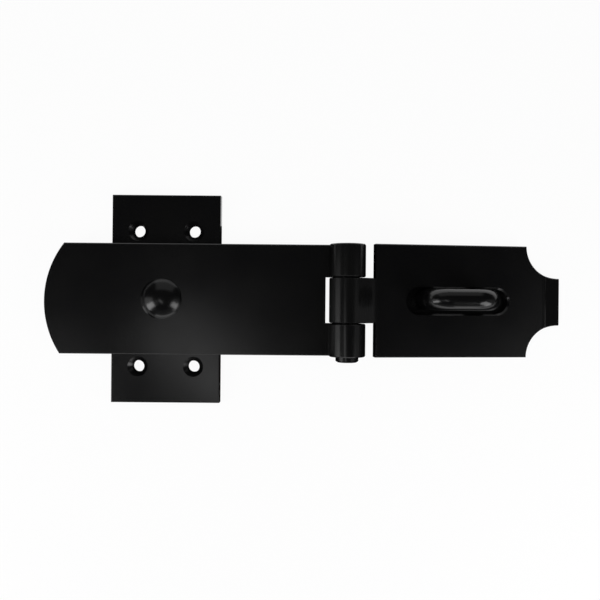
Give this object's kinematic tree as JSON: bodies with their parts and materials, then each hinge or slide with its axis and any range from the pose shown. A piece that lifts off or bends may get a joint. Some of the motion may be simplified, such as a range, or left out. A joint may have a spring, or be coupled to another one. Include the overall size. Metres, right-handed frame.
{
  "type": "swivel hasp and staple",
  "caption": "Swivel hasp: a flat bar riveted to a screw plate turns on its pivot and carries a hinged slotted leaf that closes over a padlock staple.",
  "frame": {"origin": "middle of the pivot plate's four screws, on the surface that the plate is screwed to", "axes": "+X along the bar toward the hasp leaf and staple, +Y across it, +Z out of the mounting surface"},
  "size_m": [0.2333, 0.095, 0.036],
  "materials": {
    "black_powder_coat": "satin black powder coat on steel"
  },
  "bodies": {
    "base": {"pivot_plate": "black_powder_coat", "pivot_rivet": "black_powder_coat"},
    "bar": {"swivel_bar": "black_powder_coat", "hinge_pin": "black_powder_coat", "staple": "black_powder_coat", "staple_plate": "black_powder_coat"},
    "leaf": {"hasp_leaf": "black_powder_coat"}
  },
  "joints": [
    {"name": "bar_swivel", "type": "hinge", "parent": "base", "child": "bar", "pos_m": [-0.0011, 0, 0.005], "axis": [0, 0, 1], "continuous": true},
    {"name": "hasp_swing", "type": "hinge", "parent": "bar", "child": "leaf", "pos_m": [0.0825, 0, 0.0131], "axis": [0, -1, 0], "range_deg": [0, 178]}
  ]
}
